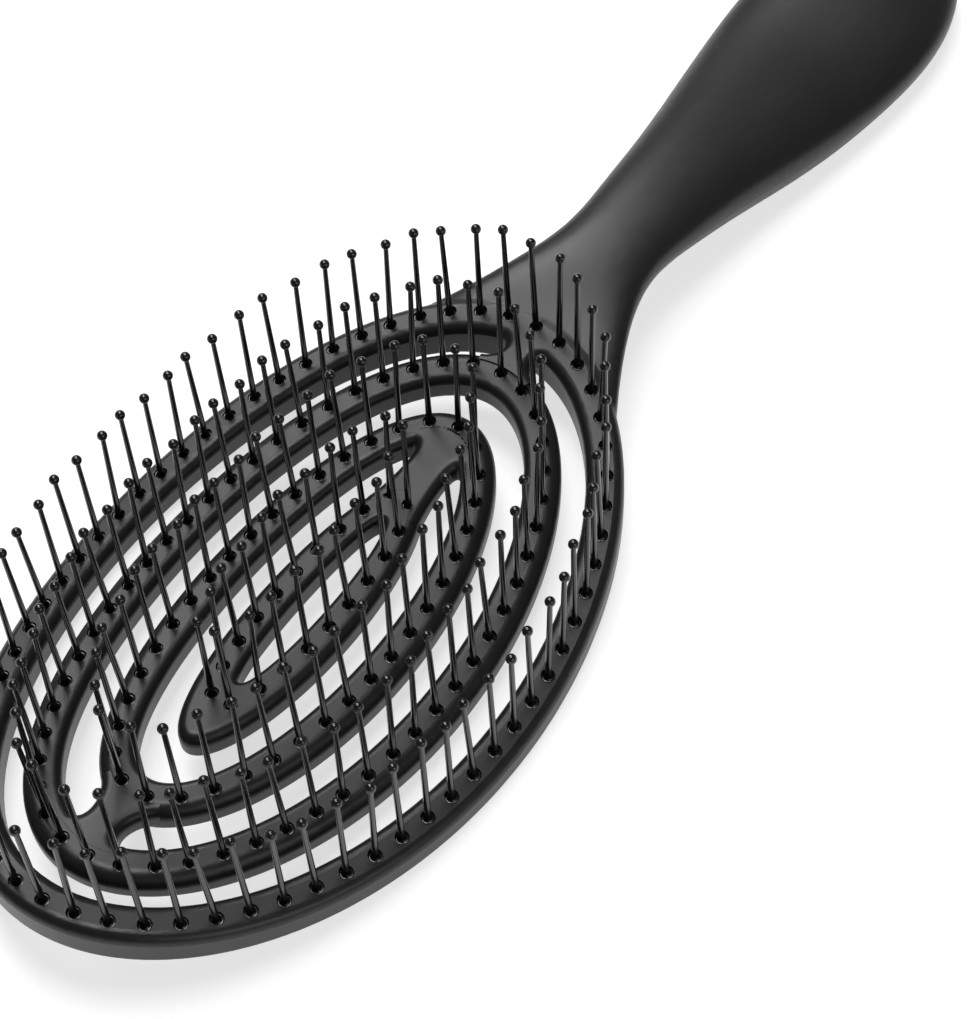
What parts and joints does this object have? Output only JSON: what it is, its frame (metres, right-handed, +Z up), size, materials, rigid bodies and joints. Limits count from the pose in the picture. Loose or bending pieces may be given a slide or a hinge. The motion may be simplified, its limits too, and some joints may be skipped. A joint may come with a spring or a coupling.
{
  "type": "detangling brush",
  "caption": "Vented detangling hair brush: nested oval rings of ball-tipped pins joined by bending bridges, on a rounded grip.",
  "frame": {"origin": "on the resting surface, at the middle of the brush's length and width", "axes": "+Y from the head's tip to the end of the grip, +X across the head, +Z up through the pins"},
  "size_m": [0.0752, 0.2332, 0.0348],
  "materials": {
    "soft_touch_black": "soft-touch matte",
    "pin_nylon": "glossy moulded nylon",
    "backing_rubber": "matte"
  },
  "bodies": {
    "handle": {"handle_frame": "soft_touch_black", "handle_back_panel": "soft_touch_black", "rim_back_cover": "soft_touch_black", "rim_backing_strip": "backing_rubber", "rim_pins": "pin_nylon", "outer_bridge": "soft_touch_black"},
    "middle_ring": {"middle_ring_frame": "soft_touch_black", "middle_back_cover": "soft_touch_black", "middle_backing_strip": "backing_rubber", "middle_pins": "pin_nylon", "middle_bridge": "soft_touch_black"},
    "inner_ring": {"inner_ring_frame": "soft_touch_black", "inner_back_cover": "soft_touch_black", "inner_backing_strip": "backing_rubber", "inner_pins": "pin_nylon", "inner_bridge": "soft_touch_black"},
    "core": {"core_ring_frame": "soft_touch_black", "core_back_cover": "soft_touch_black", "core_backing_strip": "backing_rubber", "core_pins": "pin_nylon"}
  },
  "joints": [
    {"name": "middle_ring_flex", "type": "hinge", "parent": "handle", "child": "middle_ring", "pos_m": [0, -0.00345, 0.0111], "axis": [1, 0, 0], "range_deg": [-3, 3], "stiffness_Nm_per_rad": 6, "deforming": ["outer_bridge"]},
    {"name": "inner_ring_flex", "type": "hinge", "parent": "middle_ring", "child": "inner_ring", "pos_m": [0, -0.0991, 0.00949], "axis": [1, 0, 0], "range_deg": [-3.5, 3.5], "stiffness_Nm_per_rad": 4, "deforming": ["middle_bridge"]},
    {"name": "core_flex", "type": "hinge", "parent": "inner_ring", "child": "core", "pos_m": [0, -0.02555, 0.00799], "axis": [1, 0, 0], "range_deg": [-5, 5], "stiffness_Nm_per_rad": 3, "deforming": ["inner_bridge"]}
  ]
}
